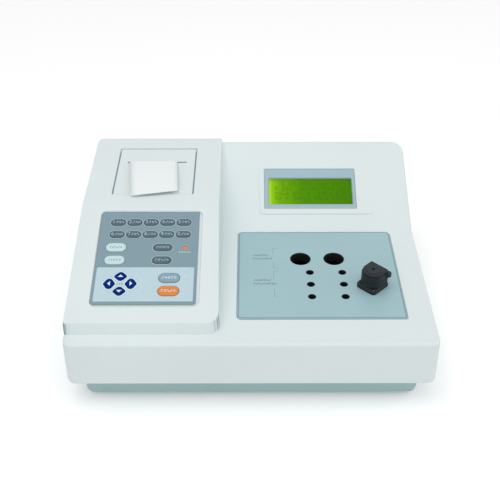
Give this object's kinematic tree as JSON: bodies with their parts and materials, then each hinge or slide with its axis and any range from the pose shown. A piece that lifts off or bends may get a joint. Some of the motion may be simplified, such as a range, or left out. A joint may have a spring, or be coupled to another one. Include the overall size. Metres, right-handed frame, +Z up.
{
  "type": "coagulation analyzer",
  "caption": "Bench-top coagulation analyzer: low housing with a raised keypad and printer console, sloped display, and a plate of heated wells with a capped measuring port.",
  "frame": {"origin": "middle of the overall footprint, at the level the feet stand on", "axes": "+X to the user's right, +Y to the back, +Z up; the longest side lies along X"},
  "size_m": [0.3, 0.25, 0.1164],
  "materials": {
    "housing_white": "moulded plastic with a fine matt texture",
    "tray_grey": "matt grey-blue moulding",
    "rubber_black": "matt rubber",
    "panel_grey": "printed membrane overlay",
    "plate_blue": "satin coated plate",
    "frame_blue": "satin bezel",
    "glass_green": "backlit liquid crystal panel",
    "port_black": "satin black moulding",
    "metal_block": "milled",
    "steel": "plain sheet and turned steel",
    "supply_metal": "folded cover",
    "foam_white": "closed-cell foam",
    "board_green": "solder-masked laminate",
    "paper_white": "thermal paper",
    "plastic_black": "black moulding",
    "gear_white": "natural moulding",
    "key_dark": "embossed overlay key",
    "key_pale": "embossed overlay key",
    "key_blue": "embossed overlay key",
    "key_grey": "embossed overlay key",
    "key_orange": "embossed overlay key",
    "led_red": "clear tinted lens"
  },
  "bodies": {
    "housing": {"upper_case": "housing_white", "base_tray": "tray_grey", "foot_front_left": "rubber_black", "foot_front_right": "rubber_black", "foot_rear_left": "rubber_black", "foot_rear_right": "rubber_black", "well_plate": "plate_blue", "heater_block": "metal_block", "block_insulation": "foam_white", "port_base": "port_black", "port_screw_left": "steel", "port_screw_front": "steel", "optics_block": "plastic_black", "light_source": "steel", "photodetector": "steel", "keypad_panel": "panel_grey", "keypad_board": "board_green", "status_led": "led_red", "display_frame": "frame_blue", "display_glass": "glass_green", "display_board": "board_green", "feed_motor": "steel", "print_head": "plastic_black", "printer_frame": "steel", "cover_hinge_pin": "steel", "main_board": "board_green", "power_supply": "supply_metal", "power_inlet": "plastic_black", "switch_frame": "plastic_black", "serial_port": "plastic_black"},
    "printer_lid": {"printer_cover": "housing_white", "paper_strip": "paper_white"},
    "platen": {"platen_roller": "rubber_black", "platen_gear": "gear_white"},
    "motor_pinion": {"motor_gear": "gear_white"},
    "paper_supply": {"paper_roll": "paper_white", "roll_spindle": "gear_white"},
    "port_lid": {"port_cap": "port_black"},
    "rocker": {"power_switch": "plastic_black"},
    "key_0_cap": {"key_0": "key_dark"},
    "key_1_cap": {"key_1": "key_dark"},
    "key_2_cap": {"key_2": "key_dark"},
    "key_3_cap": {"key_3": "key_dark"},
    "key_4_cap": {"key_4": "key_dark"},
    "key_5_cap": {"key_5": "key_dark"},
    "key_6_cap": {"key_6": "key_dark"},
    "key_7_cap": {"key_7": "key_dark"},
    "key_8_cap": {"key_8": "key_dark"},
    "key_9_cap": {"key_9": "key_dark"},
    "key_left_upper_cap": {"key_left_upper": "key_pale"},
    "key_left_lower_cap": {"key_left_lower": "key_pale"},
    "key_right_upper_cap": {"key_right_upper": "key_dark"},
    "key_right_lower_cap": {"key_right_lower": "key_dark"},
    "key_arrow_up_cap": {"key_arrow_up": "key_blue"},
    "key_arrow_down_cap": {"key_arrow_down": "key_blue"},
    "key_arrow_left_cap": {"key_arrow_left": "key_blue"},
    "key_arrow_right_cap": {"key_arrow_right": "key_blue"},
    "key_menu_cap": {"key_menu": "key_grey"},
    "key_enter_cap": {"key_enter": "key_orange"}
  },
  "joints": [
    {"name": "key_0_press", "type": "slide", "parent": "housing", "child": "key_0_cap", "axis": [0, 0.2504, -0.9681], "range_m": [0, 0.0004], "stiffness_N_per_m": 4000},
    {"name": "key_1_press", "type": "slide", "parent": "housing", "child": "key_1_cap", "axis": [0, 0.2504, -0.9681], "range_m": [0, 0.0004], "stiffness_N_per_m": 4000},
    {"name": "key_2_press", "type": "slide", "parent": "housing", "child": "key_2_cap", "axis": [0, 0.2504, -0.9681], "range_m": [0, 0.0004], "stiffness_N_per_m": 4000},
    {"name": "key_3_press", "type": "slide", "parent": "housing", "child": "key_3_cap", "axis": [0, 0.2504, -0.9681], "range_m": [0, 0.0004], "stiffness_N_per_m": 4000},
    {"name": "key_4_press", "type": "slide", "parent": "housing", "child": "key_4_cap", "axis": [0, 0.2504, -0.9681], "range_m": [0, 0.0004], "stiffness_N_per_m": 4000},
    {"name": "key_5_press", "type": "slide", "parent": "housing", "child": "key_5_cap", "axis": [0, 0.2504, -0.9681], "range_m": [0, 0.0004], "stiffness_N_per_m": 4000},
    {"name": "key_6_press", "type": "slide", "parent": "housing", "child": "key_6_cap", "axis": [0, 0.2504, -0.9681], "range_m": [0, 0.0004], "stiffness_N_per_m": 4000},
    {"name": "key_7_press", "type": "slide", "parent": "housing", "child": "key_7_cap", "axis": [0, 0.2504, -0.9681], "range_m": [0, 0.0004], "stiffness_N_per_m": 4000},
    {"name": "key_8_press", "type": "slide", "parent": "housing", "child": "key_8_cap", "axis": [0, 0.2504, -0.9681], "range_m": [0, 0.0004], "stiffness_N_per_m": 4000},
    {"name": "key_9_press", "type": "slide", "parent": "housing", "child": "key_9_cap", "axis": [0, 0.2504, -0.9681], "range_m": [0, 0.0004], "stiffness_N_per_m": 4000},
    {"name": "key_left_upper_press", "type": "slide", "parent": "housing", "child": "key_left_upper_cap", "axis": [0, 0.2504, -0.9681], "range_m": [0, 0.0004], "stiffness_N_per_m": 4000},
    {"name": "key_left_lower_press", "type": "slide", "parent": "housing", "child": "key_left_lower_cap", "axis": [0, 0.2504, -0.9681], "range_m": [0, 0.0004], "stiffness_N_per_m": 4000},
    {"name": "key_right_upper_press", "type": "slide", "parent": "housing", "child": "key_right_upper_cap", "axis": [0, 0.2504, -0.9681], "range_m": [0, 0.0004], "stiffness_N_per_m": 4000},
    {"name": "key_right_lower_press", "type": "slide", "parent": "housing", "child": "key_right_lower_cap", "axis": [0, 0.2504, -0.9681], "range_m": [0, 0.0004], "stiffness_N_per_m": 4000},
    {"name": "key_arrow_up_press", "type": "slide", "parent": "housing", "child": "key_arrow_up_cap", "axis": [0, 0.2504, -0.9681], "range_m": [0, 0.0004], "stiffness_N_per_m": 4000},
    {"name": "key_arrow_down_press", "type": "slide", "parent": "housing", "child": "key_arrow_down_cap", "axis": [0, 0.2504, -0.9681], "range_m": [0, 0.0004], "stiffness_N_per_m": 4000},
    {"name": "key_arrow_left_press", "type": "slide", "parent": "housing", "child": "key_arrow_left_cap", "axis": [0, 0.2504, -0.9681], "range_m": [0, 0.0004], "stiffness_N_per_m": 4000},
    {"name": "key_arrow_right_press", "type": "slide", "parent": "housing", "child": "key_arrow_right_cap", "axis": [0, 0.2504, -0.9681], "range_m": [0, 0.0004], "stiffness_N_per_m": 4000},
    {"name": "key_menu_press", "type": "slide", "parent": "housing", "child": "key_menu_cap", "axis": [0, 0.2504, -0.9681], "range_m": [0, 0.0004], "stiffness_N_per_m": 4000},
    {"name": "key_enter_press", "type": "slide", "parent": "housing", "child": "key_enter_cap", "axis": [0, 0.2504, -0.9681], "range_m": [0, 0.0004], "stiffness_N_per_m": 4000},
    {"name": "printer_lid_hinge", "type": "hinge", "parent": "housing", "child": "printer_lid", "pos_m": [-0.0883, 0.1044, 0.1095], "axis": [-1, 0, 0], "range_deg": [0, 80]},
    {"name": "platen_spin", "type": "hinge", "parent": "housing", "child": "platen", "pos_m": [-0.0883, 0.07835, 0.10056], "axis": [1, 0, 0], "continuous": true},
    {"name": "motor_spin", "type": "hinge", "parent": "housing", "child": "motor_pinion", "pos_m": [-0.0883, 0.08581, 0.09703], "axis": [1, 0, 0], "continuous": true},
    {"name": "roll_spin", "type": "hinge", "parent": "housing", "child": "paper_supply", "pos_m": [-0.0883, 0.05472, 0.08363], "axis": [1, 0, 0], "continuous": true},
    {"name": "port_lid_lift", "type": "slide", "parent": "housing", "child": "port_lid", "axis": [0, 0, 1], "range_m": [0, 0.02]},
    {"name": "power_switch_rock", "type": "hinge", "parent": "housing", "child": "rocker", "pos_m": [0.07, 0.119, 0.052], "axis": [1, 0, 0], "range_deg": [0, 14]}
  ],
  "couplings": [
    {"joint": "motor_spin", "follows": "platen_spin", "ratio": -1.6667}
  ]
}
